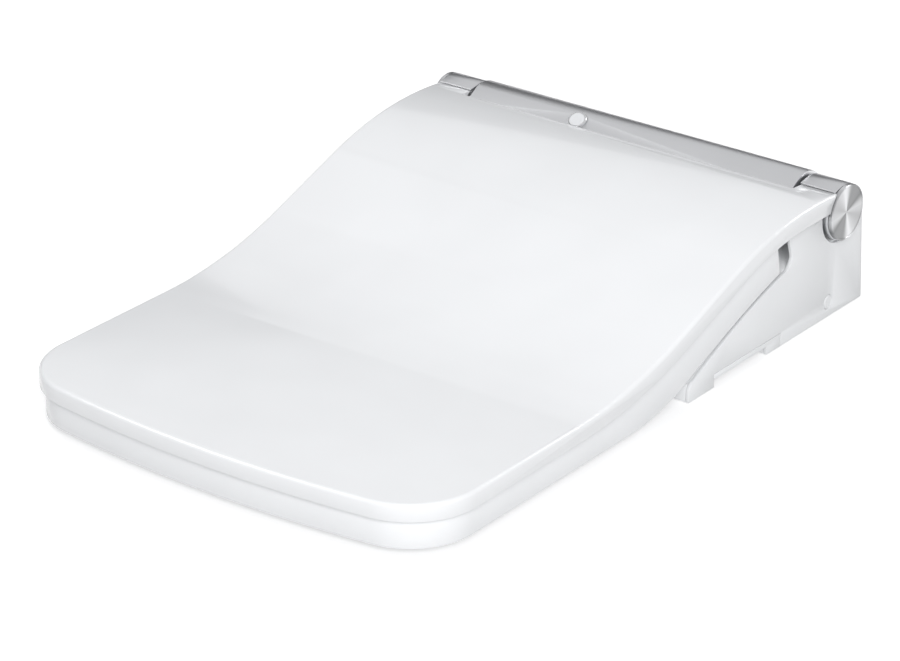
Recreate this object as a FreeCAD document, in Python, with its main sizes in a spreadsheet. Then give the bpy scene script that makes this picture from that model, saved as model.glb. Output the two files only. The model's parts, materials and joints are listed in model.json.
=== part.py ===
"""Electric bidet seat: housing, hinged seat ring and hinged lid, in millimetres.

Frame: +Z up, the user faces -Y, +X is to the right of someone looking at the front.
The origin is midway between the two fixing holes, in the plane of the toilet rim.
"""
import FreeCAD, Part
import math
import os
import re
import Sketcher

V = FreeCAD.Vector
ALONG_X, ALONG_Y, ALONG_Z = V(1, 0, 0), V(0, 1, 0), V(0, 0, 1)
TURN_TO = {
    "X": FreeCAD.Rotation(ALONG_Z, ALONG_X),
    "Y": FreeCAD.Rotation(ALONG_Z, ALONG_Y),
    "Z": FreeCAD.Rotation(),
}

# alias, millimetres (or degrees), what it is
SIZES = [
    ("hinge_y", 86.2, "hinge axis behind the fixing holes"),
    ("hinge_z", 85.0, "hinge axis above the rim"),
    ("front_y", -450.0, "front edge of the lid"),
    ("lid_front_half", 192.3, "lid half width at the front corners"),
    ("lid_rear_half", 191.0, "lid half width beside the hinge"),
    ("front_arc", 1039.6, "radius of the bowed front edge"),
    ("corner_arc", 57.4, "radius of the front corners in plan"),
    ("lid_top", 41.2, "lid top over its flat front half"),
    ("lid_top_rise_y", -264.6, "where the lid top starts to rise"),
    ("lid_top_slope", 19.4, "steepest slope of the lid top, degrees"),
    ("lid_top_scoop", 394.3, "hollow arc of the lid top"),
    ("lid_top_ramp", 73.7, "straight run between the two arcs"),
    ("lid_top_crest", 314.7, "crest arc of the lid top"),
    ("lid_under", 27.8, "lower edge of the lid over its front half"),
    ("lid_under_rise_y", -258.3, "where the lower edge starts to rise"),
    ("lid_under_slope", 19.4, "steepest slope of the lower edge, degrees"),
    ("lid_under_scoop", 397.6, "hollow arc of the lower edge"),
    ("lid_under_ramp", 80.7, "straight run of the lower edge"),
    ("lid_under_crest", 243.9, "crest arc of the lower edge"),
    ("lid_edge_round", 3.0, "round along the lid's top edge"),
    ("wall", 2.8, "wall of the lid and seat mouldings"),
    ("notch_half", 158.6, "half width of the lid's rear notch"),
    ("notch_radius", 32.4, "rear notch edge about the hinge axis"),
    ("seat_inset", 4.0, "seat side inside the lid's edge"),
    ("seat_gap", 0.7, "seat top below the lid's lower edge"),
    ("seat_under", 5.3, "seat's lower edge above the rim"),
    ("seat_under_rise_y", -192.9, "where the seat's lower edge starts to rise"),
    ("seat_under_scoop", 177.0, "hollow arc of the seat's lower edge"),
    ("seat_under_ramp", 12.1, "straight run of the seat's lower edge"),
    ("seat_under_crest", 1289.0, "crest arc of the seat's lower edge"),
    ("seat_under_slope", 22.1, "steepest slope of the seat's lower edge, degrees"),
    ("seat_tail_y", 0.8, "seat's lower rear corner"),
    ("opening_half", 106.0, "half width of the seat opening"),
    ("opening_y", -250.0, "widest line of the seat opening"),
    ("opening_front", 145.0, "front half length of the seat opening"),
    ("opening_rear", 128.0, "rear half length of the seat opening"),
    ("opening_round", 8.0, "round along the opening's top edge"),
    ("panel_x", 186.0, "outer face of the side panels"),
    ("panel_wall", 3.0, "side panel thickness"),
    ("shell_wall", 2.6, "wall of the housing mouldings"),
    ("foot_y", -116.0, "front of the housing's two feet"),
    ("tray_top", 14.0, "parting line of the lower and upper housing"),
    ("bowl_half", 118.0, "half width of the recess between the feet"),
    ("bowl_y", -62.0, "front wall between the feet"),
    ("bay_x", 157.0, "inner wall of the hinge bays"),
    ("bay_z", 61.0, "floor of the hinge bays"),
    ("bay_back", 112.0, "back wall of the hinge bays"),
    ("deck_z", 70.0, "deck under the metal band"),
    ("panel_top", 87.0, "top edge of the side panels"),
    ("hinge_hole", 25.4, "round cut-out of the panel about the hinge"),
    ("sleeve_radius", 22.6, "metal hinge sleeve"),
    ("sleeve_wall", 1.6, "sheet of the hinge sleeve"),
    ("sleeve_end", 188.8, "outer end of the hinge sleeve"),
    ("cap_radius", 22.4, "hinge end cap"),
    ("cap_x", 192.5, "outer face of the hinge end cap"),
    ("band_half", 154.6, "half length of the metal band"),
    ("band_sheet", 1.6, "wall of the metal band"),
    ("pin_radius", 6.0, "hinge pin"),
    ("pin_play", 0.06, "radial play of the hinge pin"),
    ("plate_half", 110.0, "half width of the fixing plate"),
    ("plate_thickness", 5.0, "fixing plate"),
    ("fixing_pitch", 155.0, "distance between the fixing holes"),
    ("slot_half_width", 4.25, "half width of a fixing slot"),
    ("slot_length", 36.0, "end to end length of a fixing slot"),
    ("release_y", 73.9, "release button"),
    ("release_z", 12.5, "release button height"),
    ("release_radius", 5.6, "release button"),
    ("button_x", -51.0, "control button along the band"),
    ("button_radius", 6.6, "control button"),
    ("bezel_radius", 8.2, "ring round the control button"),
    ("wand_radius", 8.0, "nozzle wand"),
    ("wand_length", 146.0, "nozzle wand with its tip"),
    ("wand_angle", 15.0, "nozzle wand below the horizontal, degrees"),
    ("wand_port_y", -58.0, "nozzle tip at rest"),
    ("wand_port_z", 16.5, "nozzle centre at rest"),
    ("gear_module", 1.5, "nozzle rack and pinion"),
    ("gear_teeth", 12, "teeth of the nozzle pinion"),
    ("fan_x", 112.0, "dryer fan across the housing"),
    ("fan_y", 62.0, "dryer fan from front to back"),
    ("fan_radius", 32.0, "dryer fan casing"),
]

doc = FreeCAD.newDocument("BidetSeat")
sizes = doc.addObject("Spreadsheet::Sheet", "Sizes")
for row, (alias, value, note) in enumerate(SIZES, start=1):
    sizes.set(f"A{row}", note)
    sizes.set(f"B{row}", str(value))
    sizes.setAlias(f"B{row}", alias)
doc.recompute()
ALIASES = {alias for alias, value, note in SIZES}
nodes = []


def mm(alias):
    """The number that a cell of the sheet holds."""
    return float(sizes.get(alias))


def sized(text):
    """An expression with each alias in it pointed at the sheet."""
    return re.sub(r"[a-z]\w*", lambda m: "Sizes." + m[0] if m[0] in ALIASES else m[0], text)


def bind(obj, prop, value):
    """Sets a property, by expression where the value is a text of aliases."""
    if isinstance(value, str):
        obj.setExpression(prop, sized(value))
    else:
        setattr(obj, prop, value)


def at(obj, x, y, z, axis="Z"):
    """Places an object's own origin, with its own Z turned along an axis."""
    obj.Placement = FreeCAD.Placement(V(), TURN_TO[axis])
    for prop, value in (("x", x), ("y", y), ("z", z)):
        obj.setExpression(f"Placement.Base.{prop}", sized(str(value)))
    return obj


def node(obj, label):
    """Names a finished sub-part and puts it on the list to be written."""
    obj.Label = label
    nodes.append(obj)
    return obj


def box(x, y, z, length, width, height):
    """A block from its lowest corner."""
    obj = doc.addObject("Part::Box", "block")
    for prop, value in (("Length", length), ("Width", width), ("Height", height)):
        bind(obj, prop, str(value))
    return at(obj, x, y, z)


def cylinder(axis, x, y, z, radius, height):
    """A cylinder from the centre of its first end."""
    obj = doc.addObject("Part::Cylinder", "round")
    bind(obj, "Radius", str(radius))
    bind(obj, "Height", str(height))
    return at(obj, x, y, z, axis)


def fused(*pieces):
    """One object out of several."""
    obj = doc.addObject("Part::MultiFuse", "joined")
    obj.Shapes = list(pieces)
    return obj


def cut(base, *tools):
    """A base with the tools taken out of it."""
    obj = doc.addObject("Part::Cut", "cut")
    obj.Base = base
    obj.Tool = tools[0] if len(tools) == 1 else fused(*tools)
    return obj


def chamfered(base, size, picked):
    """A base with a chamfer on each edge that picked accepts."""
    doc.recompute()
    obj = doc.addObject("Part::Chamfer", "chamfer")
    obj.Base = base
    edges = enumerate(base.Shape.Edges, start=1)
    obj.Edges = [(i, size, size) for i, edge in edges if picked(edge)]
    return obj


def feature(label, shape):
    """A sub-part whose curved shape is built from the sheet's numbers."""
    obj = doc.addObject("Part::Feature", label)
    obj.Shape = shape.removeSplitter()
    obj.Placement = FreeCAD.Placement()
    return node(obj, label)


def sketch_body(label, plane, height=0):
    """A body with an empty sketch on one of its origin planes."""
    body = doc.addObject("PartDesign::Body", label)
    sketch = body.newObject("Sketcher::SketchObject", label + "_outline")
    face = [f for f in body.Origin.OriginFeatures if f.Role == plane][0]
    sketch.AttachmentSupport = [(face, "")]
    sketch.MapMode = "FlatFace"
    if height:
        sketch.setExpression("AttachmentOffset.Base.z", sized(str(height)))
    return node(body, label), sketch


def rectangle(sketch, low_x, high_x, low_y, high_y):
    """A rectangle with all four sides held by expressions."""
    first = sketch.GeometryCount
    signs = [(-1, -1), (1, -1), (1, 1), (-1, 1)]
    turn = [V(x, y, 0) for x, y in signs]
    for i in range(4):
        sketch.addGeometry(Part.LineSegment(turn[i], turn[(i + 1) % 4]))
    for i in range(4):
        after = first + (i + 1) % 4
        sketch.addConstraint(Sketcher.Constraint("Coincident", first + i, 2, after, 1))
        way = "Horizontal" if i % 2 == 0 else "Vertical"
        sketch.addConstraint(Sketcher.Constraint(way, first + i))
    for kind, line, text in (
        ("DistanceX", first, low_x),
        ("DistanceX", first + 1, high_x),
        ("DistanceY", first, low_y),
        ("DistanceY", first + 2, high_y),
    ):
        tie = sketch.addConstraint(Sketcher.Constraint(kind, -1, 1, line, 1, 0.5))
        sketch.setExpression(f"Constraints[{tie}]", sized(text))


def pad(body, sketch, length):
    """The body's sketch raised to a solid."""
    solid = body.newObject("PartDesign::Pad", "Pad")
    solid.Profile = sketch
    bind(solid, "Length", length)
    sketch.Visibility = False
    return solid


def wave(name, end_y, drop=0.0, flat_tail=False):
    """Edges of an S-shaped rise in the YZ plane, from a flat front to end_y.

    It is a flat, a hollow arc, a straight ramp and a crest arc, which runs on past its
    top or ends in a flat. drop lowers the line, square to itself.
    """
    level = mm(name)
    start, scoop, ramp, crest = (mm(f"{name}_{part}") for part in ("rise_y", "scoop", "ramp", "crest"))
    lean = math.radians(mm(name + "_slope"))
    up, over = math.cos(lean), math.sin(lean)
    ramp_low = V(0, start + scoop * over, level + scoop * (1 - up))
    ramp_high = ramp_low + V(0, ramp * up, ramp * over)
    crest_centre = ramp_high + V(0, crest * over, -crest * up)
    scoop_centre = V(0, start, level + scoop)

    def on(centre, radius, degrees):
        turn = math.radians(degrees)
        return centre + V(0, math.cos(turn), math.sin(turn)) * radius

    tilt = math.degrees(lean)
    big, small = scoop + drop, crest - drop
    front = V(0, mm("front_y") - 12, level - drop)
    foot = on(scoop_centre, big, -90)
    knee = on(scoop_centre, big, -90 + tilt)
    brow = on(crest_centre, small, 90 + tilt)
    last = 90.0 if flat_tail else math.degrees(math.acos((end_y - crest_centre.y) / small))
    tail = on(crest_centre, small, last)
    edges = [
        Part.LineSegment(front, foot),
        Part.Arc(foot, on(scoop_centre, big, -90 + tilt / 2), knee),
        Part.LineSegment(knee, brow),
        Part.Arc(brow, on(crest_centre, small, (90 + tilt + last) / 2), tail),
    ]
    if flat_tail:
        edges.append(Part.LineSegment(tail, V(0, end_y, tail.z)))
        tail = V(0, end_y, tail.z)
    return [edge.toShape() for edge in edges], front, tail


def prism(edges, low_x, high_x):
    """A closed outline in the YZ plane, drawn out along X."""
    outline = Part.Wire(Part.__sortEdges__(edges))
    face = Part.Face(outline)
    face.translate(V(low_x, 0, 0))
    return face.extrude(V(high_x - low_x, 0, 0))


def polygon(points, low_x, high_x):
    """A many-sided outline of (y, z) points, drawn out along X."""
    turn = [V(0, y, z) for y, z in points]
    edges = [Part.LineSegment(a, b).toShape() for a, b in zip(turn, turn[1:] + turn[:1])]
    return prism(edges, low_x, high_x)


def between(upper, lower, half):
    """The slab between two waves, closed at both ends."""
    top, top_front, top_tail = upper
    low, low_front, low_tail = lower
    ends = [(top_front, low_front), (top_tail, low_tail)]
    caps = [Part.LineSegment(a, b).toShape() for a, b in ends]
    return prism(top + low + caps, -half, half)


def plan(inset, low_z=-20.0, high_z=140.0):
    """The lid's outline seen from above, drawn out along Z, inset all round."""
    front_half = mm("lid_front_half") - inset
    rear_half = mm("lid_rear_half") - inset
    front_radius = mm("front_arc") - inset
    corner = mm("corner_arc") - inset
    centre_y = mm("front_y") + mm("front_arc")
    reach = front_radius - corner
    corner_x = front_half - corner
    corner_y = centre_y - math.sqrt(reach**2 - corner_x**2)
    touch = V(corner_x, corner_y - centre_y, 0) * (front_radius / reach)
    middle = V(corner_x, corner_y, 0) + V(math.sin(math.pi / 4), -math.cos(math.pi / 4), 0) * corner
    rear_y = mm("hinge_y") + 20
    right = [V(rear_half, rear_y, 0), V(front_half, corner_y, 0), middle, touch + V(0, centre_y, 0)]
    left = [V(-p.x, p.y, 0) for p in right]
    nose = V(0, centre_y - front_radius, 0)
    edges = [
        Part.LineSegment(right[0], right[1]),
        Part.Arc(right[1], right[2], right[3]),
        Part.Arc(right[3], nose, left[3]),
        Part.Arc(left[3], left[2], left[1]),
        Part.LineSegment(left[1], left[0]),
        Part.LineSegment(left[0], right[0]),
    ]
    face = Part.Face(Part.Wire([edge.toShape() for edge in edges]))
    face.translate(V(0, 0, low_z))
    return face.extrude(V(0, 0, high_z - low_z))


def opening(outset):
    """The seat's opening, two half ellipses end to end, drawn out along Z."""
    half = mm("opening_half") + outset
    centre = V(0, mm("opening_y"), -20)
    rear, front = mm("opening_rear") + outset, mm("opening_front") + outset
    edges = []
    for length, sign in ((rear, 1), (front, -1)):
        oval = Part.Ellipse(centre + V(0, length * sign, 0), centre + V(half, 0, 0), centre)
        edges.append(oval.toShape(-math.pi / 2, math.pi / 2))
    return Part.Face(Part.Wire(edges)).extrude(V(0, 0, 170))


def mid_uv(face):
    """The middle of a face's own parameters."""
    low_u, high_u, low_v, high_v = face.ParameterRange
    return (low_u + high_u) / 2, (low_v + high_v) / 2


def top_edges(solid):
    """The edges between a solid's upward faces and its upright walls."""
    found = []
    for edge in solid.Edges:
        sides = [f for f in solid.Faces if any(edge.isSame(e) for e in f.Edges)]
        rises = [f.normalAt(*mid_uv(f)).z for f in sides]
        if max(rises) > 0.8 and min(abs(rise) for rise in rises) < 0.1:
            found.append(edge)
    return found


def about_hinge(radius, low_x, high_x):
    """A cylinder on the hinge axis."""
    return Part.makeCylinder(radius, high_x - low_x, V(low_x, mm("hinge_y"), mm("hinge_z")), ALONG_X)


def on_hinge(radius, degrees):
    """The (y, z) of a point about the hinge axis, counted from straight back, upwards."""
    turn = math.radians(degrees)
    return mm("hinge_y") + radius * math.cos(turn), mm("hinge_z") + radius * math.sin(turn)


def block(low_x, high_x, low_y, high_y, low_z, high_z):
    """A plain block from its limits."""
    corner = V(low_x, low_y, low_z)
    return Part.makeBox(high_x - low_x, high_y - low_y, high_z - low_z, corner)


def pill(x, y, length, width, low_z, high_z):
    """A pad with round ends, lying along Y."""
    half = width / 2
    run = length / 2 - half
    rounds = [Part.makeCylinder(half, high_z - low_z, V(x, y + s * run, low_z)) for s in (-1, 1)]
    middle = block(x - half, x + half, y - run, y + run, low_z, high_z)
    return middle.fuse(rounds)


def pair(stem, right):
    """A right-hand sub-part and its mirror image."""
    feature(stem + "_right", right)
    feature(stem + "_left", right.mirror(V(), ALONG_X))


# ---------------------------------------------------------------- lid
lid_rear = mm("hinge_y") - 4
wall = mm("wall")
ear_low, ear_high = 172.0, 181.0
hub_radius = 11.0
bore = mm("pin_radius") + mm("pin_play")


def lid_shell():
    """The lid moulding: an S-curved tray turned upside down, notched for the band."""
    outer = between(wave("lid_top", lid_rear), wave("lid_under", lid_rear, flat_tail=True), 200)
    outer = outer.common(plan(0))
    rim = []
    for edge in outer.Edges:
        middle = edge.valueAt((edge.FirstParameter + edge.LastParameter) / 2)
        ends = [vertex.Point.y for vertex in edge.Vertexes]
        across = max(ends + [middle.y]) - min(ends + [middle.y]) < 0.01
        upright = max(abs(a.Point.z - middle.z) for a in edge.Vertexes) > 5 and len(ends) == 2
        level = abs(ends[0] - ends[-1]) < 0.5 and upright
        faces = [f for f in outer.Faces if any(edge.isSame(e) for e in f.Edges)]
        on_top = any(f.normalAt(*mid_uv(f)).z > 0.9 for f in faces)
        if on_top and not across and not level:
            rim.append(edge)
    outer = outer.makeFillet(mm("lid_edge_round"), rim)
    hollow = between(wave("lid_top", lid_rear, wall), wave("lid_under", lid_rear, 30.0, True), 200)
    hollow = hollow.common(plan(wall + 0.2))
    notch_x = mm("notch_half")
    keep_out = about_hinge(mm("notch_radius") + wall, -notch_x - wall, notch_x + wall)
    hollow = hollow.cut(keep_out.fuse(about_hinge(mm("sleeve_radius") + 4, -200, 200)))
    shell = outer.cut(hollow)
    shell = shell.cut(about_hinge(mm("notch_radius"), -notch_x, notch_x))
    shell = shell.cut(about_hinge(mm("sleeve_radius") + 0.5, -200, 200))
    for sign in (-1, 1):
        ear = ear_shape()
        shell = shell.fuse(ear if sign > 0 else ear.mirror(V(), ALONG_X))
    return shell


def ear_shape():
    """The lid's right hinge ear: a web under the arm that ends in a bored hub."""
    sides = [(50, 91.5), (50, 101.5), (69, 101.5), (90, 95.2), (84, 74.4), (76, 79)]
    web = polygon(sides, ear_low, ear_high)
    hub = about_hinge(hub_radius, ear_low, ear_high)
    return web.fuse(hub).cut(about_hinge(bore, ear_low - 1, ear_high + 1))


feature("lid_shell", lid_shell())

liner = between(wave("lid_under", 50.0, -4.2), wave("lid_under", 50.0, -2.0), 200)
feature("lid_inner_panel", liner.common(plan(wall + 0.6)))

pads = [pill(x, y, 34, 11, mm("lid_under") - mm("seat_gap") + 0.3, mm("lid_under") + 2.0)
        for x, y in ((-150, -285), (150, -285), (-72, -421), (72, -421))]
feature("lid_bumpers", Part.makeCompound(pads))


# ---------------------------------------------------------------- hinge sleeves and caps
def sleeve():
    """The right metal sleeve: a bent sheet over both hinge arms, closed by an end disc."""
    radius, sheet = mm("sleeve_radius"), mm("sleeve_wall")
    low_x, web_x, high_x = mm("bay_x") + 0.6, mm("sleeve_end") - 3.5, mm("sleeve_end")
    tube = about_hinge(radius, low_x, high_x).cut(about_hinge(radius - sheet, low_x, web_x))
    open_front = [on_hinge(0, 0)] + [on_hinge(60, turn) for turn in (127, 170, 220, 270, 328)]
    tube = tube.cut(polygon(open_front, low_x - 1, mm("panel_x") - mm("panel_wall") - 1))
    tube = tube.cut(about_hinge(mm("pin_radius") + 0.4, low_x, high_x))
    crease = on_hinge(radius, 105)
    inner = on_hinge(radius - sheet + 0.2, 112)
    top, under = (crease[0] - 8.0, crease[1] - 1.1), (crease[0] - 8.2, crease[1] - 2.0)
    return tube.fuse(polygon([crease, top, under, inner], low_x, high_x))


pair("hinge_sleeve", sleeve())

for side, base_x in (("right", "sleeve_end + 0.4"), ("left", "-cap_x")):
    disc = cylinder("X", base_x, "hinge_y", "hinge_z", "cap_radius", "cap_x - sleeve_end - 0.4")
    doc.recompute()
    face_x = mm("cap_x") * (1 if side == "right" else -1)
    rim = chamfered(disc, 1.3, lambda e: abs(e.CenterOfMass.x - face_x) < 0.01 and e.Length > 9)
    node(rim, f"hinge_cap_{side}")


# ---------------------------------------------------------------- seat
def seat_blank(grow, drop, inset):
    """The seat's outer form, or its hollow where drop and inset are larger."""
    tail = mm("seat_tail_y")
    top = wave("lid_under", tail - 4.2 - inset / 2, mm("seat_gap") + drop)
    low = wave("seat_under", tail - inset, -grow)
    return between(top, low, 200).common(plan(mm("seat_inset") + inset))


slot_for_arm = block(159.4, 169.6, -12, 6, 64, 100)
slots = slot_for_arm.fuse(slot_for_arm.mirror(V(), ALONG_X))
blank = seat_blank(0, 0, 0).cut(opening(0))
in_oval = [edge for edge in top_edges(blank) if edge.BoundBox.XMax < mm("opening_half") + 1
           and edge.BoundBox.XMin > -mm("opening_half") - 1 and edge.BoundBox.YMax < -80
           and edge.BoundBox.YMin > mm("front_y") + 20]
blank = blank.makeFillet(mm("opening_round"), in_oval)
inside = seat_blank(-30, wall, wall).cut(opening(wall))
feature("seat_top_shell", blank.cut(inside).cut(slots))

floor = between(
    wave("seat_under", -6.0, -2.6),
    wave("seat_under", -6.0, 0.0),
    200,
)
inset = mm("seat_inset") + wall + 0.2
feature("seat_bottom_shell", floor.common(plan(inset)).cut(opening(wall + 0.2)))

foil = between(wave("lid_under", -30.0, mm("seat_gap") + wall + 0.5),
               wave("lid_under", -30.0, mm("seat_gap") + wall + 0.1), 200)
feature("seat_heater", foil.common(plan(18)).cut(opening(14)))

arm_low, arm_high = 160.0, 169.0
arm_sides = [(-42, 57), (-42, 68), (0, 84), (62, 84.5), (84, 96), (90, 74.5), (60, 71.5), (0, 68)]
arm = polygon(arm_sides, arm_low, arm_high).fuse(about_hinge(hub_radius, arm_low, arm_high))
arm = arm.cut(about_hinge(bore, arm_low - 1, arm_high + 1))
pair("seat_arm", arm)

pads = [pill(x, y, 38, 13, 0, mm("seat_under"))
        for x, y in ((-150, -262), (150, -262), (-78, -402), (78, -402))]
feature("seat_bumpers", Part.makeCompound(pads))

sensor = box(136, -236, 10, 30, 22, 8)
node(sensor, "seat_sensor")


# ---------------------------------------------------------------- housing
def side_outline(round_hinge):
    """The housing seen from the side: foot, sloping front, step, top and back."""
    foot, top = mm("foot_y"), mm("panel_top")
    toe = V(0, foot, 9), V(0, foot + 2.2, 13.3), V(0, foot + 7.5, 16.2)
    slope = V(0, -42.6, 43.9), V(0, 8.0, 59.6)
    step = V(0, 16.4, 63.2), V(0, 19.5, 70)
    start = V(0, 14.5, top)
    heel = V(0, 111.5, 83.9), V(0, 116.0, 81.8), V(0, 118.0, 77)
    back, base = V(0, 118.4, 70), V(0, 122.4, 0)
    edges = [
        Part.LineSegment(V(0, foot, 0), toe[0]),
        Part.Arc(*toe),
        Part.Arc(toe[2], *slope),
        Part.Arc(slope[1], *step),
        Part.LineSegment(step[1], start),
    ]
    if round_hinge:
        radius = mm("hinge_hole")
        low = V(0, mm("hinge_y"), mm("hinge_z") - radius)
        front = V(0, mm("hinge_y") - math.sqrt(radius**2 - (top - mm("hinge_z")) ** 2), top)
        edges += [Part.LineSegment(start, front), Part.Arc(front, low, heel[0])]
    else:
        shoulder = V(0, heel[0].y - 4, top)
        edges += [Part.LineSegment(start, shoulder), Part.LineSegment(shoulder, heel[0])]
    edges += [
        Part.Arc(*heel),
        Part.LineSegment(heel[2], back),
        Part.LineSegment(back, base),
        Part.LineSegment(base, V(0, foot, 0)),
    ]
    return [edge.toShape() for edge in edges]


def housing_blank(inset):
    """The housing without its side panels, or its hollow where inset is the wall."""
    wire = Part.Wire(Part.__sortEdges__(side_outline(False)))
    face = Part.Face(wire)
    if inset:
        face = face.makeOffset2D(-inset, 0, False, False)
        if not isinstance(face, Part.Face):
            face = face.Faces[0]
    half = mm("panel_x") - mm("panel_wall") - 0.2 - inset
    face.translate(V(-half, 0, 0))
    solid = face.extrude(V(2 * half, 0, 0))
    bay_x, bay_z, bay_back = mm("bay_x") - inset, mm("bay_z") - inset, mm("bay_back") + inset
    bowl_x, bowl_y = mm("bowl_half") + inset, mm("bowl_y") + inset
    away = [
        block(bay_x, 200, -40, bay_back, bay_z, 140),
        block(-200, -bay_x, -40, bay_back, bay_z, 140),
        block(-bowl_x, bowl_x, -140, bowl_y, -10, 60),
        block(-bay_x, bay_x, 57 - inset, 140, mm("deck_z") - inset, 140),
    ]
    return solid.cut(away)


shell_wall = mm("shell_wall")
window = block(-114.2, 114.2, -63, mm("bowl_y") + shell_wall + 0.2, 2.8, 32.2)
tray_top = mm("tray_top")
nozzle_port = block(-12, 12, -70, -50, 5, 29)
release_place = V(160, mm("release_y"), mm("release_z"))
release_hole = Part.makeCylinder(6.3, 30, release_place, ALONG_X)
dryer_port = block(91, 107, -70, -50, 15.5, 30)
screw_places = [(x, y) for y in (-98, 104) for x in (-150, 150)] + [(-60, 104), (60, 104)]
gland_hole = Part.makeCylinder(8.6, 30, V(138, 100, 26), ALONG_Y)

blank = housing_blank(0)
cavity = housing_blank(shell_wall)
lower = blank.common(block(-200, 200, -140, 140, 0, tray_top))
lower = lower.cut(cavity.common(block(-200, 200, -140, 140, 9.2, 30)))
lower = lower.cut(cavity.common(block(-200, 200, 48, 140, shell_wall, 30)))
lower = lower.cut(block(-112, 112, -36, 44, -1, 6))
lower = lower.cut(block(-200, 200, -82.6, -11.9, -1, 6.5))
lower = lower.cut([window, nozzle_port, release_hole, gland_hole])
for x, y in screw_places:
    lower = lower.cut(Part.makeCylinder(2.2, 30, V(x, y, -1)))
    lower = lower.cut(Part.makeCylinder(4.2, 3.4, V(x, y, -1)))
inlet_place = V(-150, 76, 0)
lower = lower.cut(Part.makeCylinder(17, 12, inlet_place - V(0, 0, 1)))
feature("lower_housing", lower)

upper = blank.common(block(-200, 200, -140, 140, tray_top + 0.2, 140))
upper = upper.cut(cavity)
for x, y in screw_places:
    boss = Part.makeCylinder(5, 60, V(x, y, tray_top + 0.2)).common(blank)
    upper = upper.fuse(boss).cut(Part.makeCylinder(2.0, 12, V(x, y, tray_top - 1)))
upper = upper.cut([window, release_hole, gland_hole])
feature("upper_housing", upper)

fascia = block(-114, 114, mm("bowl_y"), mm("bowl_y") + 2.4, 3, 32)
feature("outlet_fascia", fascia.cut([nozzle_port, dryer_port]))

panel = prism(side_outline(True), mm("panel_x") - mm("panel_wall"), mm("panel_x"))
panel = panel.cut(block(150, 200, -82.6, 7.4, -1, 11))
hole = Part.makeCylinder(mm("release_radius") + 0.25, 30, release_place, ALONG_X)
feature("side_panel_right", panel.cut(hole))
drain_hole = Part.makeCylinder(9.2, 30, V(-200, 55, 15), ALONG_X)
feature("side_panel_left", panel.mirror(V(), ALONG_X).cut(drain_hole))

inner_x, outer_x = mm("panel_x") - mm("panel_wall") + 0.2, mm("panel_x")
skirt = block(inner_x, outer_x, -82.3, -11.9, 6.6, 10.7)
skirt = skirt.fuse(block(inner_x, outer_x, -11.9, 7.1, 0, 10.7))
pair("side_skirt", skirt)

plug = cylinder("X", "-panel_x", 55, 15, 9, 3)
groove = box("-panel_x - 1", 49, 14, 2, 12, 2)
node(cut(plug, groove), "drain_plug")

body, outline = sketch_body("base_plate", "XY_Plane")
rectangle(outline, "-plate_half", "plate_half", "-33", "41")
solid = pad(body, outline, "plate_thickness")
slot = body.newObject("Sketcher::SketchObject", "slots")
slot.AttachmentSupport = [([f for f in body.Origin.OriginFeatures if f.Role == "XY_Plane"][0], "")]
slot.MapMode = "FlatFace"
half_width = mm("slot_half_width")
run = mm("slot_length") / 2 - half_width
for centre in (-mm("fixing_pitch") / 2, mm("fixing_pitch") / 2):
    ends = [V(centre - run, 0, 0), V(centre + run, 0, 0)]
    rise = V(0, half_width, 0)
    slot.addGeometry(Part.LineSegment(ends[0] - rise, ends[1] - rise))
    right, left = (Part.Circle(end, ALONG_Z, half_width) for end in (ends[1], ends[0]))
    slot.addGeometry(Part.ArcOfCircle(right, -math.pi / 2, math.pi / 2))
    slot.addGeometry(Part.LineSegment(ends[1] + rise, ends[0] + rise))
    slot.addGeometry(Part.ArcOfCircle(left, math.pi / 2, 3 * math.pi / 2))
pocket = body.newObject("PartDesign::Pocket", "Slots")
pocket.Profile = slot
pocket.Type = 1
pocket.Reversed = True
doc.recompute()

screws = []
for x, y in screw_places:
    head = Part.makeCylinder(3.6, 2.2, V(x, y, 0.1))
    shank = Part.makeCylinder(1.95, 20, V(x, y, 2.3))
    slot_cut = block(x - 3.6, x + 3.6, y - 0.5, y + 0.5, 0, 1)
    screws.append(head.fuse(shank).cut(slot_cut))
feature("housing_screws", Part.makeCompound(screws))


# ---------------------------------------------------------------- metal band and its button
def band_outline(shrink):
    """The band from the side: slanting front face, crease, round top and straight back."""
    lip = V(0, 62.0 + shrink, 99.6 - shrink * 0.4)
    crease = V(0, 76.7 + shrink * 0.3, 108.3 - shrink)
    crown = V(0, 101.2 - shrink * 0.7, 103.6 - shrink * 0.7)
    shoulder = V(0, 111.4 - shrink, 84)
    foot = V(0, 116.0 - shrink, 70.3)
    front_low, front_mid = V(0, 59.4 + shrink, 70.3), V(0, 58.6 + shrink, 88)
    edges = [
        Part.LineSegment(lip, crease),
        Part.Arc(crease, crown, shoulder),
        Part.LineSegment(shoulder, foot),
        Part.LineSegment(foot, front_low),
        Part.LineSegment(front_low, front_mid),
        Part.LineSegment(front_mid, lip),
    ]
    return [edge.toShape() for edge in edges]


half = mm("band_half")
sheet = mm("band_sheet")
band = prism(band_outline(0), -half, half).cut(prism(band_outline(sheet), -half + 1.2, half - 1.2))
band = band.cut(block(-half + 1.2, half - 1.2, 59.4 + sheet, 116.0 - sheet, 70, 80))
band = band.cut(about_hinge(mm("pin_radius") + 3, -half - 1, half + 1))
button_y, button_z = 71.1, 105.0
face_turn = math.atan2(108.3 - 99.6, 76.7 - 62.0)
out_of_face = V(0, -math.sin(face_turn), math.cos(face_turn))
button_place = V(mm("button_x"), button_y, button_z)
well = Part.makeCylinder(mm("bezel_radius"), 9, button_place - out_of_face * 6, out_of_face)
feature("band_cover", band.cut(well))


def on_band(radius, low, high):
    """A disc square to the band's front face, between two heights over it."""
    obj = doc.addObject("Part::Cylinder", "round")
    bind(obj, "Radius", radius)
    obj.Height = high - low
    obj.Placement = FreeCAD.Placement(
        button_place + out_of_face * low, FreeCAD.Rotation(ALONG_Z, out_of_face))
    return obj


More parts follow.
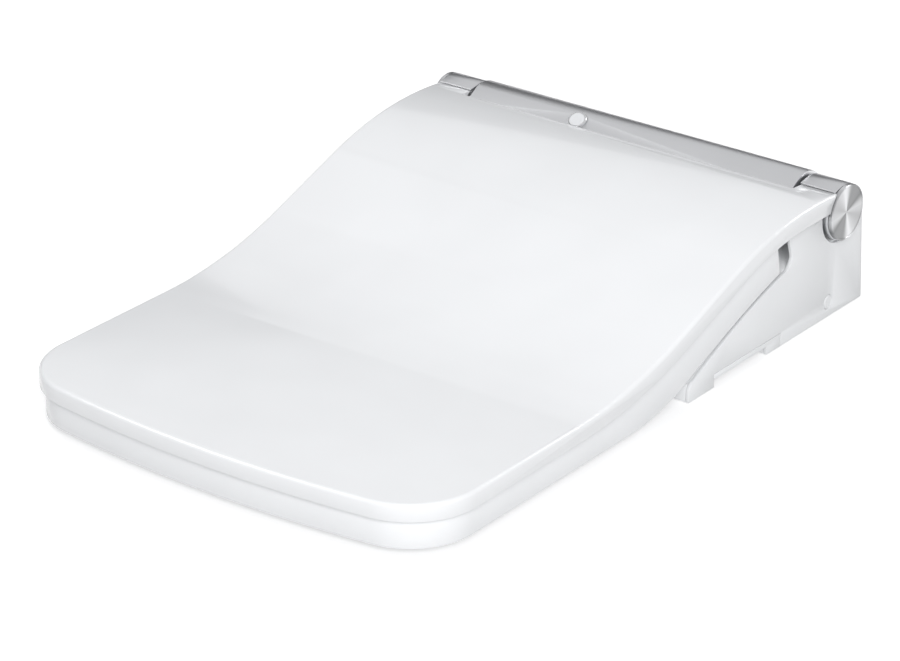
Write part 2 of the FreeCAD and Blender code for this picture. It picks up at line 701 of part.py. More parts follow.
ring = cut(on_band("bezel_radius", -5, 2.0), on_band("button_radius + 0.15", -3.0, 4.0))
node(ring, "button_bezel")
cap = chamfered(on_band("button_radius", -1.4, 2.9), 0.8,
                lambda e: (e.CenterOfMass - button_place).dot(out_of_face) > 2.5 and e.Length > 9)
node(cap, "control_button")

button = cylinder("X", "panel_x - 14", "release_y", "release_z", "release_radius", 14)
node(button, "release_button")


# ---------------------------------------------------------------- hinge brackets, pins and dampers
for side, sign in (("right", 1), ("left", -1)):
    low = mm("bay_x") - 14 if sign > 0 else -mm("bay_x") + 4
    post = polygon([(70, 70.1), (102, 70.1), (98, 85), (74, 85)], low, low + 10)
    post = post.cut(about_hinge(14.9, low - 1, low + 11))
    eye = about_hinge(15, low, low + 10).common(block(-200, 200, 0, 200, 70.1, 200))
    eye = post.fuse(eye).cut(about_hinge(mm("pin_radius"), low - 1, low + 11))
    feature(f"hinge_bracket_{side}", eye)
    pin_low = "bay_x - 27" if sign > 0 else "-sleeve_end + 3.7"
    pin = cylinder("X", pin_low, "hinge_y", "hinge_z", "pin_radius", "sleeve_end - 3.7 - bay_x + 27")
    node(pin, f"hinge_pin_{side}")

for name, start in (("seat_damper", "bay_x - 72"), ("lid_damper", "-bay_x + 14.2")):
    tube = cylinder("X", start, "hinge_y", "hinge_z", 11, 57.8)
    bore_start = "bay_x - 27" if name == "seat_damper" else "-bay_x + 14.2"
    hollow = cylinder("X", bore_start, "hinge_y", "hinge_z", "pin_radius", 12.8)
    node(cut(tube, hollow), name)


# ---------------------------------------------------------------- nozzle, rack and pinion
lean = math.radians(mm("wand_angle"))
forward = V(0, -math.cos(lean), -math.sin(lean))
over = V(0, -math.sin(lean), math.cos(lean))
tip = V(0, mm("wand_port_y"), mm("wand_port_z"))


def along_wand(x, up, run):
    """A point by its distance across, above and behind the nozzle's tip."""
    return tip + V(x, 0, 0) + over * up - forward * run


def wand_block(low_x, high_x, low_up, high_up, low_run, high_run):
    """A block square to the wand, between limits counted as in along_wand."""
    corners = [along_wand(low_x, u, r) for u, r in
               ((low_up, low_run), (high_up, low_run), (high_up, high_run), (low_up, high_run))]
    wire = Part.makePolygon(corners + corners[:1])
    return Part.Face(wire).extrude(V(high_x - low_x, 0, 0))


module, teeth = mm("gear_module"), int(mm("gear_teeth"))
pitch = math.pi * module
pitch_radius = module * teeth / 2
rack_root = mm("wand_radius") + 1.0
rack_pitch_line = rack_root + 1.25 * module
pinion_run = 100.0
tooth_half = pitch * 0.21
flank = math.tan(math.radians(20))


def rack_tooth(run):
    """One trapezoid tooth of the rack, centred at a distance behind the tip."""
    low_half = tooth_half + 1.25 * module * flank
    high_half = tooth_half - 0.95 * module * flank
    outline = [
        along_wand(-4, rack_root, run - low_half),
        along_wand(-4, rack_pitch_line + 0.95 * module, run - high_half),
        along_wand(-4, rack_pitch_line + 0.95 * module, run + high_half),
        along_wand(-4, rack_root, run + low_half),
    ]
    return Part.Face(Part.makePolygon(outline + outline[:1])).extrude(V(8, 0, 0))


wand = Part.makeCylinder(mm("wand_radius"), mm("wand_length") - 12, along_wand(0, 0, 12), forward * -1)
rail = wand_block(-4, 4, mm("wand_radius") - 1.5, rack_root, 14, mm("wand_length"))
wand = wand.fuse(rail)
count = int((mm("wand_length") - 24) / pitch)
first = pinion_run - pitch * (int((pinion_run - 18) / pitch) - 0.5)
wand = wand.fuse([rack_tooth(first + pitch * i) for i in range(count)])
feature("nozzle_wand", wand)

nose = Part.makeCylinder(mm("wand_radius") - 0.2, 11.8, along_wand(0, 0, 0.2), forward * -1)
nose = nose.cut([Part.makeCylinder(0.6, 6, along_wand(x, 4, 6), over) for x in (-2.4, 0, 2.4)])
feature("nozzle_tip", nose)

axle = along_wand(0, rack_pitch_line + pitch_radius, pinion_run)


def pinion():
    """The nozzle pinion: trapezoid teeth about a disc, with its own short axle."""
    disc = Part.makeCylinder(pitch_radius - 1.25 * module, 7, axle - V(3.5, 0, 0), ALONG_X)
    down = math.atan2(-over.z, -over.y)
    shapes = []
    for i in range(teeth):
        turn = down + 2 * math.pi * i / teeth
        out = V(0, math.cos(turn), math.sin(turn))
        side = V(0, -math.sin(turn), math.cos(turn))
        radii = (pitch_radius - 1.6 * module, pitch_radius + 0.9 * module)
        halves = (tooth_half + 1.0 * module * flank, tooth_half - 0.9 * module * flank - 0.15)
        base = axle - V(3.5, 0, 0)
        points = [
            base + out * radii[0] - side * halves[0],
            base + out * radii[1] - side * halves[1],
            base + out * radii[1] + side * halves[1],
            base + out * radii[0] + side * halves[0],
        ]
        shapes.append(Part.Face(Part.makePolygon(points + points[:1])).extrude(V(7, 0, 0)))
    shaft = Part.makeCylinder(2.0, 22, axle - V(3.5, 0, 0), ALONG_X)
    return disc.fuse(shapes + [shaft])


feature("nozzle_pinion", pinion())

motor = Part.makeCylinder(10, 24, axle + V(8, 0, 0), ALONG_X)
feature("nozzle_motor", motor.cut(Part.makeCylinder(2.05, 14, axle + V(7, 0, 0), ALONG_X)))

channel_half = mm("wand_radius") + 0.4
guide = wand_block(-12, 12, -11.5, 3, 2, mm("wand_length") + 2)
guide = guide.cut(Part.makeCylinder(channel_half, 200, along_wand(0, 0, -10), forward * -1))
guide = guide.cut(wand_block(-channel_half, channel_half, 0, 20, -10, 150))
clear_tray = block(-20, 20, -70, 60, 0, 9.4)
wall_clear = block(-20, 20, -80, mm("bowl_y") + shell_wall + 0.2, 0, 60)
feature("nozzle_guide", guide.cut([clear_tray, wall_clear]))

# ---------------------------------------------------------------- water and electrics
node(box(-122, -24, 9.4, 60, 74, 34), "water_heater")
node(cylinder("Y", -142, -40, 26, 13, 66), "water_pump")
node(box(-166, 60, 20, 32, 32, 26), "inlet_valve")
pipe = cylinder("Z", inlet_place.x, inlet_place.y, 0.6, 10.3, 19.4)
node(cut(pipe, cylinder("Z", inlet_place.x, inlet_place.y, 0, 5, 18)), "inlet_connector")
gland = cylinder("Y", 138, 116, 26, 8.4, 5.6)
node(cut(gland, cylinder("Y", 138, 115, 26, 3.6, 8)), "cord_gland")

for label, low_x in (("control_board", "52"), ("power_board", "-146")):
    body, outline = sketch_body(label, "XY_Plane", 66)
    rectangle(outline, low_x, f"{low_x} + 94", "24", "52")
    pad(body, outline, "1.6")
    doc.recompute()

# ---------------------------------------------------------------- dryer fan
fan_x, fan_y, fan_radius = mm("fan_x"), mm("fan_y"), mm("fan_radius")
fan_centre = V(fan_x, fan_y, 9.4)
drum = Part.makeCylinder(fan_radius, 28, fan_centre)
duct = block(88, 110, -59.2, fan_y, 14.6, 33)
casing = drum.fuse(duct)
casing = casing.cut(Part.makeCylinder(fan_radius - 2, 24, fan_centre + V(0, 0, 2)))
casing = casing.cut(block(89.6, 108.4, -62, fan_y - 20, 16.2, 31.4))
casing = casing.cut(Part.makeCylinder(14, 10, fan_centre + V(0, 0, 22)))
feature("fan_housing", casing)

stator = Part.makeCylinder(8.6, 12, fan_centre + V(0, 0, 2))
feature("fan_motor", stator.fuse(Part.makeCylinder(2, 20, fan_centre + V(0, 0, 2))))

cup = Part.makeCylinder(11.5, 14.6, fan_centre + V(0, 0, 3.4))
cup = cup.fuse(Part.makeCylinder(fan_radius - 5, 1.4, fan_centre + V(0, 0, 3.4)))
cup = cup.cut(Part.makeCylinder(9.4, 12.4, fan_centre + V(0, 0, 3.3)))
blades = []
for i in range(14):
    blade = block(11, fan_radius - 5, -0.6, 0.6, 3.6, 21.5)
    blade.rotate(V(11, 0, 0), ALONG_Z, 24)
    blade.rotate(V(), ALONG_Z, 360 * i / 14)
    blade.translate(V(fan_x, fan_y, fan_centre.z))
    blades.append(blade)
wheel = cup.fuse(blades).cut(Part.makeCylinder(2.05, 30, fan_centre))
feature("fan_impeller", wheel.common(Part.makeCylinder(fan_radius - 4, 30, fan_centre)))

# ---------------------------------------------------------------- check and write
doc.recompute()
for obj in doc.Objects:
    faults = [state for state in obj.State if state in ("Invalid", "Error")]
    if faults:
        raise RuntimeError(f"{obj.Label}: {faults}")
os.makedirs("parts", exist_ok=True)
for obj in nodes:
    shape = obj.Shape
    if shape.isNull() or not shape.isValid() or not shape.Solids:
        raise RuntimeError(f"{obj.Label}: no valid solid")
    shape.exportStep(os.path.join("parts", obj.Label + ".step"))
print(len(nodes), "sub-parts written")
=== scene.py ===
"""Electric bidet seat: the looks of each moulding, metal part and inner unit."""
import json
import math

import bpy
import bmesh
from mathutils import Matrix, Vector

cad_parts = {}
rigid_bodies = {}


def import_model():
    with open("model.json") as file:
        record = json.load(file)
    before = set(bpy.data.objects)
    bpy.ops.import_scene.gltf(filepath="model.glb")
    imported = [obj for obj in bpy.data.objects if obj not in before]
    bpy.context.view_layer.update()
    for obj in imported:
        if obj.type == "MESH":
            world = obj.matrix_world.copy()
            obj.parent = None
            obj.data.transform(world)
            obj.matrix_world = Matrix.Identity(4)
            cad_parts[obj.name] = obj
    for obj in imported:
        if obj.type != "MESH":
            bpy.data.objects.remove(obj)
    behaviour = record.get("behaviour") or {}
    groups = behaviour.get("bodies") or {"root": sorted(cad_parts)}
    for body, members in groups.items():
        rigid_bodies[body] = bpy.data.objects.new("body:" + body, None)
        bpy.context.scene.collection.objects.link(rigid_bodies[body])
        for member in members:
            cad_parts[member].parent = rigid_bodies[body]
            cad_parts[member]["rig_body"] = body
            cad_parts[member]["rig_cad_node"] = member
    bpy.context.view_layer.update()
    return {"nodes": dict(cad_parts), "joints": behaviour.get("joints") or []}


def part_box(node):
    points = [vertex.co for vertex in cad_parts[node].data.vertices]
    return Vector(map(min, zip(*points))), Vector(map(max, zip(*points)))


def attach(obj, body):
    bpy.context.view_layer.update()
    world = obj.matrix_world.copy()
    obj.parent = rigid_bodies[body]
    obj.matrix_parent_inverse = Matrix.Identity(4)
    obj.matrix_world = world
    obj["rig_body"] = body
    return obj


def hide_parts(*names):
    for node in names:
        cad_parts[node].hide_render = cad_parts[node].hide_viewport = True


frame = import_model()
bpy.ops.object.select_all(action="DESELECT")

# ------------------------------------------------------------ studio
# A white glowing floor in a bright room, lit mostly from above and in front, so the seat
# falls into shade under the lid. A dark card stands low behind, and two small bright ones
# high up, where only polished surfaces pick them up.
bpy.context.scene.view_settings.view_transform = "Standard"

bpy.ops.object.camera_add(location=(1.6164, -2.2783, 1.2788))
camera = bpy.context.object
camera.rotation_euler = (math.radians(64.76), 0, math.radians(37.37))
camera.data.lens = 156.8
camera.data.clip_start = 0.05
bpy.context.scene.camera = camera

# The room is brighter in mirrors and to the camera than it is as light on the object.
mirrored_room, lighting_below, lighting_above = 0.68, 0.44, 0.46
room = bpy.data.worlds.new("bright_room")
room.use_nodes = True
room_nodes, room_link = room.node_tree.nodes, room.node_tree.links.new
gaze = room_nodes.new("ShaderNodeTexCoord")
height = room_nodes.new("ShaderNodeSeparateXYZ")
room_link(gaze.outputs["Generated"], height.inputs["Vector"])
fade = room_nodes.new("ShaderNodeMapRange")
fade.inputs["From Min"].default_value, fade.inputs["From Max"].default_value = -0.25, 0.35
fade.inputs["To Min"].default_value = lighting_below
fade.inputs["To Max"].default_value = lighting_above
room_link(height.outputs["Z"], fade.inputs["Value"])
room_nodes["Background"].inputs["Color"].default_value = (0.985, 0.99, 1.0, 1)
ray = room_nodes.new("ShaderNodeLightPath")
walls = room_nodes.new("ShaderNodeMix")
walls.inputs["A"].default_value = mirrored_room
room_link(ray.outputs["Is Diffuse Ray"], walls.inputs["Factor"])
room_link(fade.outputs["Result"], walls.inputs["B"])
room_link(walls.outputs["Result"], room_nodes["Background"].inputs["Strength"])
bpy.context.scene.world = room


def stage_material(name, colour, glow=0.0):
    """A plain matt studio surface."""
    material = bpy.data.materials.new(name)
    material.use_nodes = True
    shader = material.node_tree.nodes["Principled BSDF"]
    shader.inputs["Base Color"].default_value = (*colour, 1)
    shader.inputs["Roughness"].default_value = 0.9
    shader.inputs["Specular IOR Level"].default_value = 0.1
    shader.inputs["Emission Color"].default_value = (1, 1, 1, 1)
    shader.inputs["Emission Strength"].default_value = glow
    return material


floor_gap = 0.0006
bpy.ops.mesh.primitive_plane_add(size=16, location=(0, 0, -floor_gap))
studio_floor = bpy.context.object
studio_floor.name = "studio_floor"
paper = stage_material("seamless_paper", (0.96, 0.96, 0.96), glow=0.25)
studio_floor.data.materials.append(paper)
studio_floor.visible_diffuse = False

bpy.ops.mesh.primitive_plane_add(size=1, location=(-2.0, 3.0, 0.75))
dark_card = bpy.context.object
dark_card.name = "dark_card"
dark_card.rotation_euler = (math.radians(90), 0, math.radians(34))
dark_card.scale = (5.0, 1.9, 1)
dark_card.visible_camera = dark_card.visible_diffuse = dark_card.visible_shadow = False
dark_card.data.materials.append(stage_material("card_black", (0.04, 0.04, 0.045)))

for name, place, size, power, mirrored in (
    ("softbox_over", (-1.2, 0.3, 2.2), 2.4, 9, False),
    ("softbox_front", (2.9, -3.2, 2.2), 3.0, 178, False),
    ("softbox_back", (-2.4, 1.8, 1.7), 2.4, 24, False),
    ("edge_card_over", (-1.26, -1.3, 1.56), 1.0, 14, True),
    ("edge_card_right", (1.04, 1.86, 1.3), 0.9, 12, True),
):
    bpy.ops.object.light_add(type="AREA", location=place)
    lamp = bpy.context.object
    lamp.name = name
    lamp.rotation_euler = (-Vector(place)).to_track_quat("-Z", "Y").to_euler()
    lamp.data.size = size
    lamp.data.energy = power
    lamp.visible_glossy = mirrored
    lamp.visible_diffuse = not mirrored

# ------------------------------------------------------------ lid
# The lid is one moulding in polished white plastic, with a 3 mm round along its top edge
# and a trace of flow ripple in its skin. A satin liner closes it from below, and it rests
# on four soft grey pads, moulded with rounded edges and pressed into the liner.
weld_gap = 0.000002
flat_angle, sharp_angle, smooth_angle = (math.radians(angle) for angle in (0.4, 32, 30))


def moulded_skin():
    """Node group: the mottle, polish and ripple of a moulded plastic skin."""
    group = bpy.data.node_groups.new("moulded_skin", "ShaderNodeTree")
    for name, kind, value in (
        ("Colour", "NodeSocketColor", (0.9, 0.9, 0.9, 1)),
        ("Roughness", "NodeSocketFloat", 0.2),
        ("Grain per metre", "NodeSocketFloat", 300.0),
        ("Grain depth", "NodeSocketFloat", 0.02),
        ("Ripple depth", "NodeSocketFloat", 0.02),
    ):
        socket = group.interface.new_socket(name, in_out="INPUT", socket_type=kind)
        socket.default_value = value
    for name, kind in (
        ("Colour", "NodeSocketColor"),
        ("Roughness", "NodeSocketFloat"),
        ("Normal", "NodeSocketVector"),
    ):
        group.interface.new_socket(name, in_out="OUTPUT", socket_type=kind)
    nodes, link = group.nodes, group.links.new
    source, result = nodes.new("NodeGroupInput"), nodes.new("NodeGroupOutput")
    place = nodes.new("ShaderNodeTexCoord")

    grain = nodes.new("ShaderNodeTexNoise")
    grain.inputs["Detail"].default_value = 3
    link(place.outputs["Object"], grain.inputs["Vector"])
    link(source.outputs["Grain per metre"], grain.inputs["Scale"])
    ripple = nodes.new("ShaderNodeTexNoise")
    ripple.inputs["Scale"].default_value = 14
    ripple.inputs["Detail"].default_value = 1
    link(place.outputs["Object"], ripple.inputs["Vector"])

    dust = nodes.new("ShaderNodeMapRange")
    dust.inputs["From Min"].default_value, dust.inputs["From Max"].default_value = 0.3, 0.7
    dust.inputs["To Min"].default_value, dust.inputs["To Max"].default_value = 0.975, 1.0
    link(ripple.outputs["Fac"], dust.inputs["Value"])
    tint = nodes.new("ShaderNodeMix")
    tint.data_type, tint.blend_type = "RGBA", "MULTIPLY"
    tint.inputs[0].default_value = 1
    link(source.outputs["Colour"], tint.inputs[6])
    link(dust.outputs["Result"], tint.inputs[7])
    link(tint.outputs[2], result.inputs["Colour"])

    polish = nodes.new("ShaderNodeMapRange")
    polish.inputs["To Min"].default_value, polish.inputs["To Max"].default_value = 0.85, 1.15
    link(grain.outputs["Fac"], polish.inputs["Value"])
    rough = nodes.new("ShaderNodeMath")
    rough.operation = "MULTIPLY"
    link(source.outputs["Roughness"], rough.inputs[0])
    link(polish.outputs["Result"], rough.inputs[1])
    link(rough.outputs["Value"], result.inputs["Roughness"])

    wide = nodes.new("ShaderNodeBump")
    wide.inputs["Distance"].default_value = 0.001
    link(source.outputs["Ripple depth"], wide.inputs["Strength"])
    link(ripple.outputs["Fac"], wide.inputs["Height"])
    fine = nodes.new("ShaderNodeBump")
    fine.inputs["Distance"].default_value = 0.0002
    link(source.outputs["Grain depth"], fine.inputs["Strength"])
    link(grain.outputs["Fac"], fine.inputs["Height"])
    link(wide.outputs["Normal"], fine.inputs["Normal"])
    link(fine.outputs["Normal"], result.inputs["Normal"])
    return group


skin_group = moulded_skin()


def plastic(name, colour, roughness, grain=300, grain_depth=0.02, ripple_depth=0.02,
            coat=0.0):
    """A moulded plastic finish: colour, polish, and how coarse and deep its skin is."""
    material = bpy.data.materials.new(name)
    material.use_nodes = True
    tree = material.node_tree
    shader = tree.nodes["Principled BSDF"]
    skin = tree.nodes.new("ShaderNodeGroup")
    skin.node_tree = skin_group
    skin.inputs["Colour"].default_value = (*colour, 1)
    skin.inputs["Roughness"].default_value = roughness
    skin.inputs["Grain per metre"].default_value = grain
    skin.inputs["Grain depth"].default_value = grain_depth
    skin.inputs["Ripple depth"].default_value = ripple_depth
    tree.links.new(skin.outputs["Colour"], shader.inputs["Base Color"])
    tree.links.new(skin.outputs["Roughness"], shader.inputs["Roughness"])
    tree.links.new(skin.outputs["Normal"], shader.inputs["Normal"])
    shader.inputs["IOR"].default_value = 1.5
    shader.inputs["Coat Weight"].default_value = coat
    shader.inputs["Coat Roughness"].default_value = 0.06
    return material


def dress(node, finish):
    """Gives a frame node its finish."""
    frame["nodes"][node].data.materials.clear()
    frame["nodes"][node].data.materials.append(finish)


def softened(node, name, body, finish, round_over):
    """A welded copy of a frame node, its sharp edges rounded over, which stands for it."""
    piece = frame["nodes"][node].copy()
    piece.data = piece.data.copy()
    piece.name = name
    piece.parent = None
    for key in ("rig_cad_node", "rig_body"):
        del piece[key]
    bpy.context.collection.objects.link(piece)
    bpy.ops.object.select_all(action="DESELECT")
    piece.select_set(True)
    bpy.context.view_layer.objects.active = piece
    bpy.ops.mesh.customdata_custom_splitnormals_clear()
    bpy.ops.object.mode_set(mode="EDIT")
    bpy.ops.mesh.select_all(action="SELECT")
    bpy.ops.mesh.remove_doubles(threshold=weld_gap)
    bpy.ops.mesh.dissolve_limited(angle_limit=flat_angle)
    bpy.ops.object.mode_set(mode="OBJECT")
    over = piece.modifiers.new("round_over", "BEVEL")
    over.width = round_over
    over.segments = 2
    over.limit_method = "ANGLE"
    over.angle_limit = sharp_angle
    over.use_clamp_overlap = False
    over.miter_outer = "MITER_ARC"
    bpy.ops.object.modifier_apply(modifier=over.name)
    bpy.ops.object.shade_smooth_by_angle(angle=smooth_angle)
    piece.data.materials.clear()
    piece.data.materials.append(finish)
    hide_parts(node)
    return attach(piece, body)


polished_white = plastic("polished_white", (0.88, 0.89, 0.905), 0.16,
                         grain=220, grain_depth=0.01, ripple_depth=0.012, coat=0.35)
softened("lid_shell", "lid_cover", "lid", polished_white, round_over=0.0004)

satin_white = plastic("satin_white", (0.84, 0.85, 0.862), 0.42,
                      grain=2600, grain_depth=0.10, ripple_depth=0.006)
softened("lid_inner_panel", "lid_liner", "lid", satin_white, round_over=0.0005)

grey_pad = plastic("grey_pad", (0.5, 0.51, 0.52), 0.7, grain=1500, grain_depth=0.2)
softened("lid_bumpers", "lid_pads", "lid", grey_pad, round_over=0.0006)

# ------------------------------------------------------------ seat
# The seat ring is a warm seat: a polished top shell snapped over a satin bottom shell,
# which stands on four soft pads. Two arms, screwed on inside, carry it on the hinge pins.
softened("seat_top_shell", "seat_ring", "seat", polished_white,
         round_over=0.0004)
softened("seat_bottom_shell", "seat_floor", "seat", satin_white,
         round_over=0.0004)
softened("seat_bumpers", "seat_pads", "seat", grey_pad, round_over=0.0008)
for side in ("left", "right"):
    softened(f"seat_arm_{side}", f"arm_{side}", "seat", satin_white,
             round_over=0.0006)

# ------------------------------------------------------------ housing
# The housing is an upper and a lower moulding in satin white, held by screws from below.
# Side panels, each with a strip along its foot, cover the ends, a fascia with the nozzle's
# and the dryer's ports closes the front, and a small cap plugs the drain on the left.
for node, round_over in (
    ("upper_housing", 0.0006), ("lower_housing", 0.0005),
    ("side_panel_left", 0.0005), ("side_panel_right", 0.0005),
    ("side_skirt_left", 0.0003), ("side_skirt_right", 0.0003),
):
    softened(node, f"{node}_skin", "root", satin_white, round_over)
for node in ("outlet_fascia", "base_plate"):
    dress(node, satin_white)
softened("drain_plug", "drain_cap", "root", satin_white,
         round_over=0.0003)

# ------------------------------------------------------------ metal band and sleeves
# The band along the back and the lid's two hinge sleeves are aluminium extrusions, cut to
# length, bead-blasted to an even fine grain and anodised grey.


def metal(name, colour, roughness, grain=3200, grain_depth=0.12):
    """A blasted or plain metal finish, with its fine grain."""
    material = plastic(name, colour, roughness, grain, grain_depth, ripple_depth=0.0)
    material.node_tree.nodes["Principled BSDF"].inputs["Metallic"].default_value = 1
    return material


blasted_grey = metal("blasted_grey", (0.80, 0.805, 0.82), 0.34)
softened("band_cover", "band", "root", blasted_grey, round_over=0.0005)
for side in ("left", "right"):
    softened(f"hinge_sleeve_{side}", f"sleeve_{side}", "lid", blasted_grey,
             round_over=0.0003)

# ------------------------------------------------------------ hinge end caps
# Each cap is turned from aluminium bar: a rounded rim, a fine step, and a shallow dish
# whose tool rings, too fine to see one by one, spread the light into radial streaks through
# an anisotropic sheen. Light and dark radial streaks are also painted into its colour, as
# painted highlights and painted reflections.
rim_round, rim_face = 0.0008, 0.0007
step_width, step_drop = 0.0002, 0.00035
dish_rings, dish_reach, ring_drop = 5, 0.95, 0.00018


def pick_facing(way):
    """In edit mode, selects the faces that look squarely one way and nothing else."""
    bpy.ops.mesh.select_mode(type="FACE")
    bpy.ops.mesh.select_all(action="DESELECT")
    shape = bmesh.from_edit_mesh(bpy.context.object.data)
    for face in shape.faces:
        face.select_set(face.normal.dot(way) > 0.999)
    bmesh.update_edit_mesh(bpy.context.object.data)


def turned(name, node, outward, radius, depth, sides=128):
    """A bar end at a frame node's middle, in edit mode with its outer face selected."""
    low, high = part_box(node)
    bpy.ops.object.select_all(action="DESELECT")
    bpy.ops.mesh.primitive_cylinder_add(
        vertices=sides, radius=radius, depth=depth, location=(low + high) / 2,
        rotation=outward.to_track_quat("Z", "Y").to_euler())
    piece = bpy.context.object
    piece.name = name
    bpy.ops.object.transform_apply(location=True, rotation=True, scale=True)
    bpy.ops.object.mode_set(mode="EDIT")
    pick_facing(outward)
    return piece


def finished(piece, node, body, finish):
    """Leaves edit mode, smooths the round faces, and puts the piece on its body."""
    bpy.ops.object.mode_set(mode="OBJECT")
    bpy.ops.object.shade_smooth_by_angle(angle=smooth_angle)
    piece.data.materials.append(finish)
    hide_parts(node)
    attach(piece, body)


def spun_metal(name, centre):
    """Turned aluminium: an anisotropic sheen over fine tool rings, with painted highlight and
    reflection streaks fanning out from the centre in its colour.
    """
    material = bpy.data.materials.new(name)
    material.use_nodes = True
    nodes, link = material.node_tree.nodes, material.node_tree.links.new
    shader = nodes["Principled BSDF"]
    place = nodes.new("ShaderNodeTexCoord")
    middle = nodes.new("ShaderNodeMapping")
    middle.inputs["Location"].default_value = -centre
    link(place.outputs["Object"], middle.inputs["Vector"])
    split = nodes.new("ShaderNodeSeparateXYZ")
    link(middle.outputs["Vector"], split.inputs["Vector"])
    angle = nodes.new("ShaderNodeMath")
    angle.operation = "ARCTAN2"
    link(split.outputs["Z"], angle.inputs[0])
    link(split.outputs["Y"], angle.inputs[1])
    half_turns = nodes.new("ShaderNodeMath")
    half_turns.operation = "DIVIDE"
    half_turns.inputs[1].default_value = math.pi
    link(angle.outputs["Value"], half_turns.inputs[0])
    share = nodes.new("ShaderNodeMath")
    share.operation = "FRACT"
    link(half_turns.outputs["Value"], share.inputs[0])
    # Light and dark wedges by angle round the centre: painted highlights and painted reflections
    # in the base colour.
    painted_highlight_fan = nodes.new("ShaderNodeValToRGB")
    painted_highlight_fan.color_ramp.interpolation = "B_SPLINE"
    painted_streak_tones = ((0.0, 0.66), (0.08, 0.56), (0.15, 0.20), (0.20, 0.30), (0.34, 0.31),
               (0.42, 0.27), (0.48, 0.56), (0.56, 0.90), (0.63, 0.68), (0.72, 0.62),
               (0.86, 0.46), (0.94, 0.60))
    while len(painted_highlight_fan.color_ramp.elements) < len(painted_streak_tones):
        painted_highlight_fan.color_ramp.elements.new(0.5)
    for stop, (where, tone) in zip(painted_highlight_fan.color_ramp.elements, painted_streak_tones):
        stop.position = where
        stop.color = (tone, tone * 1.005, tone * 1.02, 1)
    link(share.outputs["Value"], painted_highlight_fan.inputs["Fac"])
    link(painted_highlight_fan.outputs["Color"], shader.inputs["Base Color"])

    rings = nodes.new("ShaderNodeVectorMath")
    rings.operation = "LENGTH"
    link(middle.outputs["Vector"], rings.inputs[0])
    cuts = nodes.new("ShaderNodeTexNoise")
    cuts.noise_dimensions = "1D"
    cuts.inputs["Scale"].default_value = 2600
    link(rings.outputs["Value"], cuts.inputs["W"])
    rough = nodes.new("ShaderNodeMapRange")
    rough.inputs["To Min"].default_value, rough.inputs["To Max"].default_value = 0.26, 0.40
    link(cuts.outputs["Fac"], rough.inputs["Value"])
    link(rough.outputs["Result"], shader.inputs["Roughness"])
    tangent = nodes.new("ShaderNodeTangent")
    tangent.direction_type, tangent.axis = "RADIAL", "X"
    link(tangent.outputs["Tangent"], shader.inputs["Tangent"])
    shader.inputs["Metallic"].default_value = 1
    shader.inputs["Anisotropic"].default_value = 0.75
    shader.inputs["Anisotropic Rotation"].default_value = 0.25
    return material


for side, sign in (("left", -1), ("right", 1)):
    node = f"hinge_cap_{side}"
    low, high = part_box(node)
    radius, length = (high.z - low.z) / 2, high.x - low.x
    outward = Vector((sign, 0, 0))
    cap = turned(f"end_cap_{side}", node, outward, radius, length, sides=160)
    bpy.ops.mesh.bevel(offset=rim_round, segments=4, affect="EDGES")
    pick_facing(outward)
    bpy.ops.mesh.inset(thickness=rim_face)
    bpy.ops.mesh.inset(thickness=step_width, depth=-step_drop)
    dish = radius - rim_round - rim_face - step_width
    for ring in range(dish_rings):
        bpy.ops.mesh.inset(thickness=dish * dish_reach / dish_rings, depth=-ring_drop)
    bpy.ops.mesh.merge(type="CENTER")
    finished(cap, node, "lid", spun_metal(f"spun_{side}", (low + high) / 2))

# ------------------------------------------------------------ control button
# A sprung white key in a bright turned ring, both square to the band's slanting face.
# The ring is pressed into the band, and the moulded key slides in it, slightly dished.
lip_round, lip_face = 0.0009, 0.0005
well_taper, well_depth = 0.0001, 0.0062
press = next(joint for joint in frame["joints"] if joint["name"] == "control_button_press")
proud = -Vector(press["axis"])
bright_ring = metal("bright_ring", (0.86, 0.865, 0.875), 0.22, grain=1500, grain_depth=0.03)
bezel = turned("button_ring", "button_bezel", proud, radius=0.0082, depth=0.007)
bpy.ops.mesh.bevel(offset=lip_round, segments=5, affect="EDGES")
pick_facing(proud)
bpy.ops.mesh.inset(thickness=lip_face)
bpy.ops.mesh.inset(thickness=well_taper, depth=-well_depth)
finished(bezel, "button_bezel", "root", bright_ring)

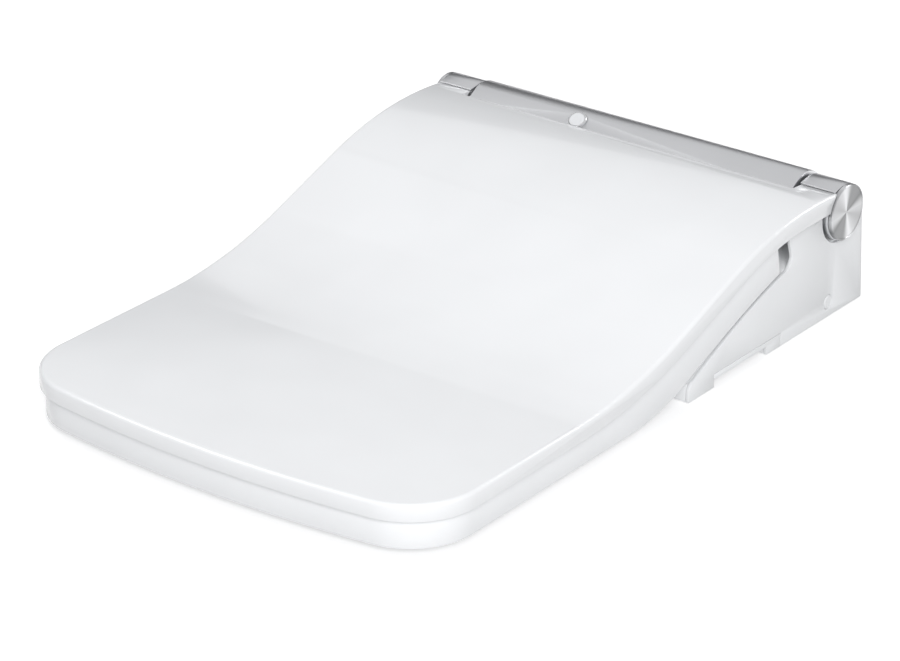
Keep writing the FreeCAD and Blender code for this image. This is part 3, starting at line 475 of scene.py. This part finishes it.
key = turned("control_key", "control_button", proud, radius=0.0066, depth=0.0043)
bpy.ops.mesh.bevel(offset=lip_round, segments=5, affect="EDGES")
pick_facing(proud)
for drop in (0.00006, 0.00004, 0.00002):
    bpy.ops.mesh.inset(thickness=0.0016, depth=-drop)
key_white = plastic("key_white", (0.76, 0.77, 0.785), 0.3, grain=1200, grain_depth=0.03)
finished(key, "control_button", "control_button", key_white)

# ------------------------------------------------------------ release button
# A round push button low on the right side panel, moulded in the same satin white, with
# a shallow ring groove near its edge. Pressed in, it frees the housing from its plate.
edge_round, edge_face, groove = 0.0003, 0.0007, 0.0003
outward = Vector((1, 0, 0))
low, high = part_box("release_button")
radius, length = (high.z - low.z) / 2, high.x - low.x
push = turned("release_key", "release_button", outward, radius, length, sides=96)
bpy.ops.mesh.bevel(offset=edge_round, segments=3, affect="EDGES")
pick_facing(outward)
bpy.ops.mesh.inset(thickness=edge_face)
bpy.ops.mesh.inset(thickness=groove, depth=-groove)
bpy.ops.mesh.inset(thickness=groove, depth=groove)
finished(push, "release_button", "release_button", satin_white)

# ------------------------------------------------------------ inner units
# The bought-in units inside the housing and the seat, and the hinge parts, keep the
# shapes that the frame gives them. Each has its maker's finish: dark mouldings, plain
# steel, green circuit boards, turned brass, heater foil, or the housing's satin white.
dark_moulding = plastic("dark_moulding", (0.06, 0.062, 0.066), 0.5, grain=1800, grain_depth=0.15)
plain_steel = metal("plain_steel", (0.6, 0.6, 0.61), 0.3)
board_green = plastic("board_green", (0.03, 0.2, 0.09), 0.4)
turned_brass = metal("turned_brass", (0.75, 0.58, 0.3), 0.25)
foil = metal("heater_foil_finish", (0.75, 0.76, 0.78), 0.4)
for finish, members in (
    (dark_moulding, ("seat_damper", "lid_damper", "fan_housing", "fan_impeller",
                     "water_pump", "cord_gland", "seat_sensor", "inlet_valve")),
    (plain_steel, ("hinge_bracket_left", "hinge_bracket_right", "hinge_pin_left",
                   "hinge_pin_right", "housing_screws", "fan_motor", "nozzle_motor")),
    (board_green, ("control_board", "power_board")),
    (turned_brass, ("inlet_connector",)),
    (foil, ("seat_heater",)),
    (satin_white, ("nozzle_wand", "nozzle_tip", "nozzle_guide", "nozzle_pinion",
                   "water_heater")),
):
    for node in members:
        dress(node, finish)
